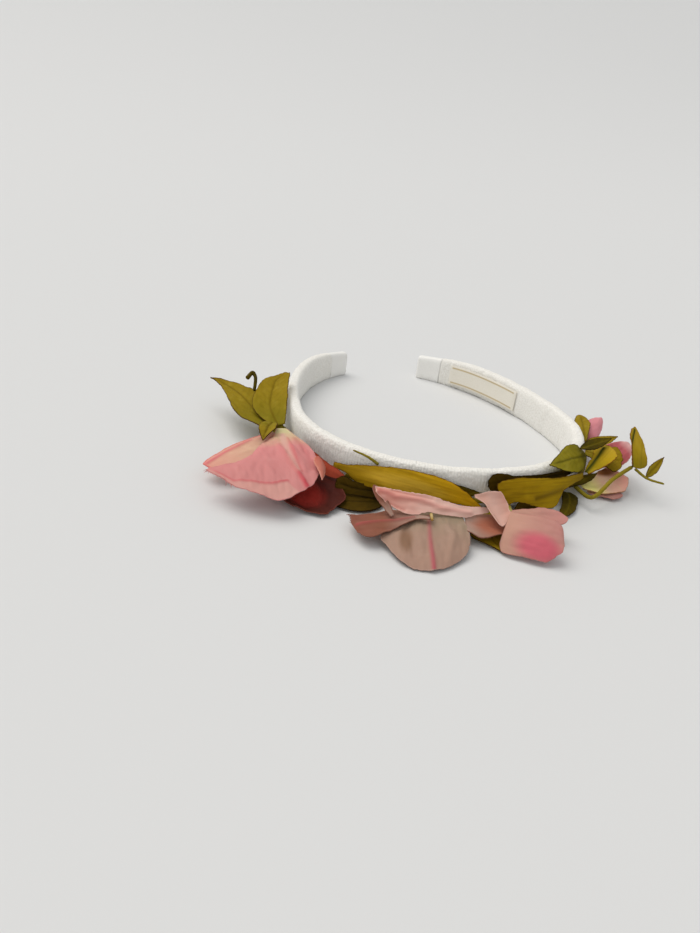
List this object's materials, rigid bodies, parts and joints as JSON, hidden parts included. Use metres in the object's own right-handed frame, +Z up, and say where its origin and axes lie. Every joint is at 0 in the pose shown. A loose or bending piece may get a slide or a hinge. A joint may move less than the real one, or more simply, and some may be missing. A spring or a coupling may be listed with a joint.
{
  "type": "flower headband",
  "caption": "Padded cloth-wound hair band with ribbon tips and a plain woven label, carrying a garland of cloth leaves and pink blossoms round one side of its crown.",
  "frame": {"origin": "middle of the band's lower edge at the crown, on the surface it rests on", "axes": "+Z up from that surface, across the strip; +Y from the crown towards the open tips; +X to the side of the label"},
  "size_m": [0.1885, 0.1951, 0.0247],
  "materials": {
    "gauze": "matte crinkled cotton gauze",
    "ribbon": "satin ribbon",
    "label": "woven ribbon",
    "stem": "paper-taped wire",
    "calyx": "matte wrapped cloth",
    "leaf": "matte dyed cloth",
    "leaf_dark": "matte dyed cloth",
    "petal_rose": "matte dyed cloth",
    "petal_blush": "matte dyed cloth",
    "petal_coral": "matte dyed cloth",
    "petal_cream": "matte dyed cloth"
  },
  "bodies": {
    "root": {"band": "gauze", "tip_cap_left": "ribbon", "tip_cap_right": "ribbon", "label": "label", "garland_stem": "stem", "stem_trail": "stem", "stem_fork": "stem", "twig": "stem", "stamen": "calyx", "tendril": "stem", "calyx_1": "calyx", "calyx_2": "calyx", "calyx_3": "calyx", "leaf_left_long": "leaf", "leaf_left_upright": "leaf", "leaf_left_bract": "leaf", "leaf_front_long": "leaf", "leaf_front_dark": "leaf_dark", "leaf_front_low": "leaf_dark", "leaf_front_tip": "leaf_dark", "leaf_floor": "leaf", "leaf_right_broad": "leaf", "leaf_right_behind": "leaf_dark", "leaf_right_under": "leaf_dark", "leaf_right_hang": "leaf_dark", "leaf_right_over": "leaf", "leaf_right_edge": "leaf_dark", "leaf_right_rib": "leaf", "leaf_right_side": "leaf", "leaf_trail_up": "leaf", "leaf_trail_fork": "leaf", "leaf_bud_up": "leaf", "leaf_bud_side": "leaf", "petal_1_top": "petal_rose", "petal_1_back": "petal_cream", "petal_1_side": "petal_coral", "petal_1_low": "petal_coral", "petal_2_low": "petal_blush", "petal_2_left": "petal_blush", "petal_2_lip": "petal_rose", "petal_2_sliver": "petal_blush", "petal_2_right": "petal_blush", "petal_2_fold": "petal_blush", "petal_3_front": "petal_rose", "petal_3_back": "petal_rose", "petal_4_front": "petal_cream", "petal_4_up": "petal_rose", "petal_4_low": "petal_rose", "petal_5_bud": "petal_rose"}
  },
  "joints": []
}
